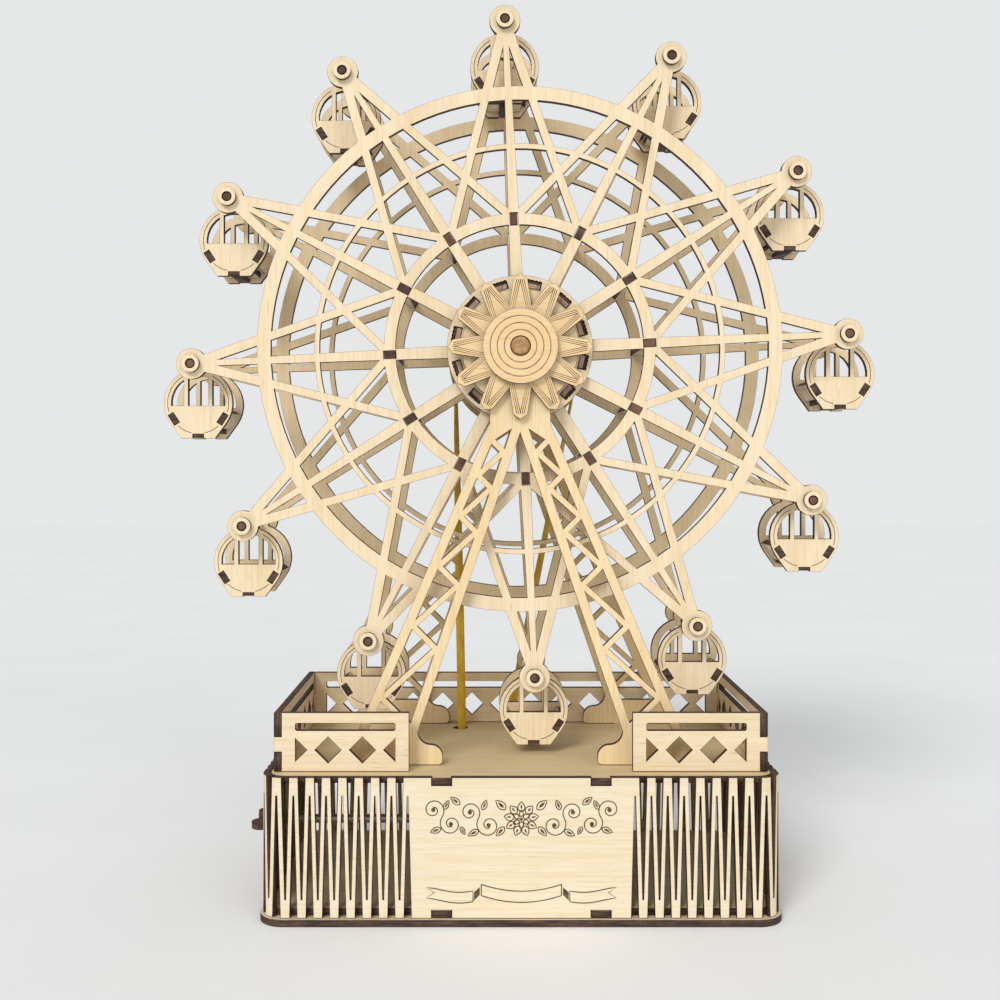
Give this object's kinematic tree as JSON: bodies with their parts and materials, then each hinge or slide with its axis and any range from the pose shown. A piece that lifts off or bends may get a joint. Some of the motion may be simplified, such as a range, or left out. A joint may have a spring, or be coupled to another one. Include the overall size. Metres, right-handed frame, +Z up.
{
  "type": "ferris wheel music box",
  "caption": "Laser cut plywood ferris wheel with hanging cabins on a slatted box. A rubber band from the wheel enters the box to a wind-up music movement.",
  "frame": {"origin": "on the table, under the middle of the object's bounding box", "axes": "+X to the right as seen from the front, +Y from the front to the back along the wheel's axle, +Z up"},
  "size_m": [0.3156, 0.116, 0.3892],
  "materials": {
    "cream_plywood": "matte basswood plywood with dark laser cut edges",
    "tan_plywood": "matte plywood, a little more yellow, with dark laser cut edges",
    "birch_dowel": "matte turned dowel",
    "scorched_plywood": "matte plywood seen at its dark cut edge",
    "yellow_rubber": "satin rubber band",
    "brass": "satin brass",
    "steel": "satin steel"
  },
  "bodies": {
    "stand": {"base_plate": "cream_plywood", "floor_plate": "cream_plywood", "deck": "tan_plywood", "front_wall": "cream_plywood", "back_wall": "cream_plywood", "left_wall": "cream_plywood", "right_wall": "cream_plywood", "tower_front": "tan_plywood", "tower_back": "tan_plywood", "star_plate_front": "tan_plywood", "cap_disc_front": "tan_plywood", "cap_disc_back": "tan_plywood", "fence_front_left": "cream_plywood", "fence_front_right": "cream_plywood", "fence_back": "cream_plywood", "fence_left": "cream_plywood", "fence_right": "cream_plywood", "drive_band": "yellow_rubber", "movement_bedplate": "brass", "movement_comb": "steel", "governor_housing": "brass"},
    "wheel": {"wheel_plate_front": "cream_plywood", "wheel_plate_back": "cream_plywood", "hub_disc_front": "cream_plywood", "hub_disc_back": "cream_plywood", "hub_drum": "cream_plywood", "main_axle": "birch_dowel", "drive_pulley": "tan_plywood", "ring_spacer_01": "cream_plywood", "ring_spacer_02": "cream_plywood", "ring_spacer_03": "cream_plywood", "ring_spacer_04": "cream_plywood", "ring_spacer_05": "cream_plywood", "ring_spacer_06": "cream_plywood", "ring_spacer_07": "cream_plywood", "ring_spacer_08": "cream_plywood", "ring_spacer_09": "cream_plywood", "ring_spacer_10": "cream_plywood", "ring_spacer_11": "cream_plywood", "ring_spacer_12": "cream_plywood"},
    "cabin_01": {"cabin_01": "cream_plywood"},
    "cabin_02": {"cabin_02": "cream_plywood"},
    "cabin_03": {"cabin_03": "cream_plywood"},
    "cabin_04": {"cabin_04": "cream_plywood"},
    "cabin_05": {"cabin_05": "cream_plywood"},
    "cabin_06": {"cabin_06": "cream_plywood"},
    "cabin_07": {"cabin_07": "cream_plywood"},
    "cabin_08": {"cabin_08": "cream_plywood"},
    "cabin_09": {"cabin_09": "cream_plywood"},
    "cabin_10": {"cabin_10": "cream_plywood"},
    "cabin_11": {"cabin_11": "cream_plywood"},
    "cabin_12": {"cabin_12": "cream_plywood"},
    "music_cylinder": {"arbor": "steel", "pinned_cylinder": "brass", "spring_barrel": "brass", "cylinder_gear": "brass", "small_pulley": "tan_plywood"},
    "winding_key": {"winding_key": "scorched_plywood", "key_shaft": "steel"}
  },
  "joints": [
    {"name": "wheel_turn", "type": "hinge", "parent": "stand", "child": "wheel", "pos_m": [0, -0.003, 0.24], "axis": [0, 1, 0], "continuous": true},
    {"name": "cabin_01_turn", "type": "hinge", "parent": "wheel", "child": "cabin_01", "pos_m": [0.14265, -0.003, 0.24648], "axis": [0, 1, 0], "continuous": true},
    {"name": "cabin_02_turn", "type": "hinge", "parent": "wheel", "child": "cabin_02", "pos_m": [0.1203, -0.003, 0.31694], "axis": [0, 1, 0], "continuous": true},
    {"name": "cabin_03_turn", "type": "hinge", "parent": "wheel", "child": "cabin_03", "pos_m": [0.06572, -0.003, 0.36678], "axis": [0, 1, 0], "continuous": true},
    {"name": "cabin_04_turn", "type": "hinge", "parent": "wheel", "child": "cabin_04", "pos_m": [-0.00648, -0.003, 0.38265], "axis": [0, 1, 0], "continuous": true},
    {"name": "cabin_05_turn", "type": "hinge", "parent": "wheel", "child": "cabin_05", "pos_m": [-0.07694, -0.003, 0.3603], "axis": [0, 1, 0], "continuous": true},
    {"name": "cabin_06_turn", "type": "hinge", "parent": "wheel", "child": "cabin_06", "pos_m": [-0.12678, -0.003, 0.30572], "axis": [0, 1, 0], "continuous": true},
    {"name": "cabin_07_turn", "type": "hinge", "parent": "wheel", "child": "cabin_07", "pos_m": [-0.14265, -0.003, 0.23352], "axis": [0, 1, 0], "continuous": true},
    {"name": "cabin_08_turn", "type": "hinge", "parent": "wheel", "child": "cabin_08", "pos_m": [-0.1203, -0.003, 0.16306], "axis": [0, 1, 0], "continuous": true},
    {"name": "cabin_09_turn", "type": "hinge", "parent": "wheel", "child": "cabin_09", "pos_m": [-0.06572, -0.003, 0.11322], "axis": [0, 1, 0], "continuous": true},
    {"name": "cabin_10_turn", "type": "hinge", "parent": "wheel", "child": "cabin_10", "pos_m": [0.00648, -0.003, 0.09735], "axis": [0, 1, 0], "continuous": true},
    {"name": "cabin_11_turn", "type": "hinge", "parent": "wheel", "child": "cabin_11", "pos_m": [0.07694, -0.003, 0.1197], "axis": [0, 1, 0], "continuous": true},
    {"name": "cabin_12_turn", "type": "hinge", "parent": "wheel", "child": "cabin_12", "pos_m": [0.12678, -0.003, 0.17428], "axis": [0, 1, 0], "continuous": true},
    {"name": "cylinder_turn", "type": "hinge", "parent": "stand", "child": "music_cylinder", "pos_m": [-0.018, 0, 0.033], "axis": [0, 1, 0], "continuous": true},
    {"name": "key_turn", "type": "hinge", "parent": "stand", "child": "winding_key", "pos_m": [-0.1086, -0.0059, 0.0295], "axis": [1, 0, 0], "continuous": true}
  ],
  "couplings": [
    {"joint": "cabin_01_turn", "follows": "wheel_turn", "ratio": -1},
    {"joint": "cabin_02_turn", "follows": "wheel_turn", "ratio": -1},
    {"joint": "cabin_03_turn", "follows": "wheel_turn", "ratio": -1},
    {"joint": "cabin_04_turn", "follows": "wheel_turn", "ratio": -1},
    {"joint": "cabin_05_turn", "follows": "wheel_turn", "ratio": -1},
    {"joint": "cabin_06_turn", "follows": "wheel_turn", "ratio": -1},
    {"joint": "cabin_07_turn", "follows": "wheel_turn", "ratio": -1},
    {"joint": "cabin_08_turn", "follows": "wheel_turn", "ratio": -1},
    {"joint": "cabin_09_turn", "follows": "wheel_turn", "ratio": -1},
    {"joint": "cabin_10_turn", "follows": "wheel_turn", "ratio": -1},
    {"joint": "cabin_11_turn", "follows": "wheel_turn", "ratio": -1},
    {"joint": "cabin_12_turn", "follows": "wheel_turn", "ratio": -1},
    {"joint": "cylinder_turn", "follows": "wheel_turn", "ratio": 3.6548}
  ]
}
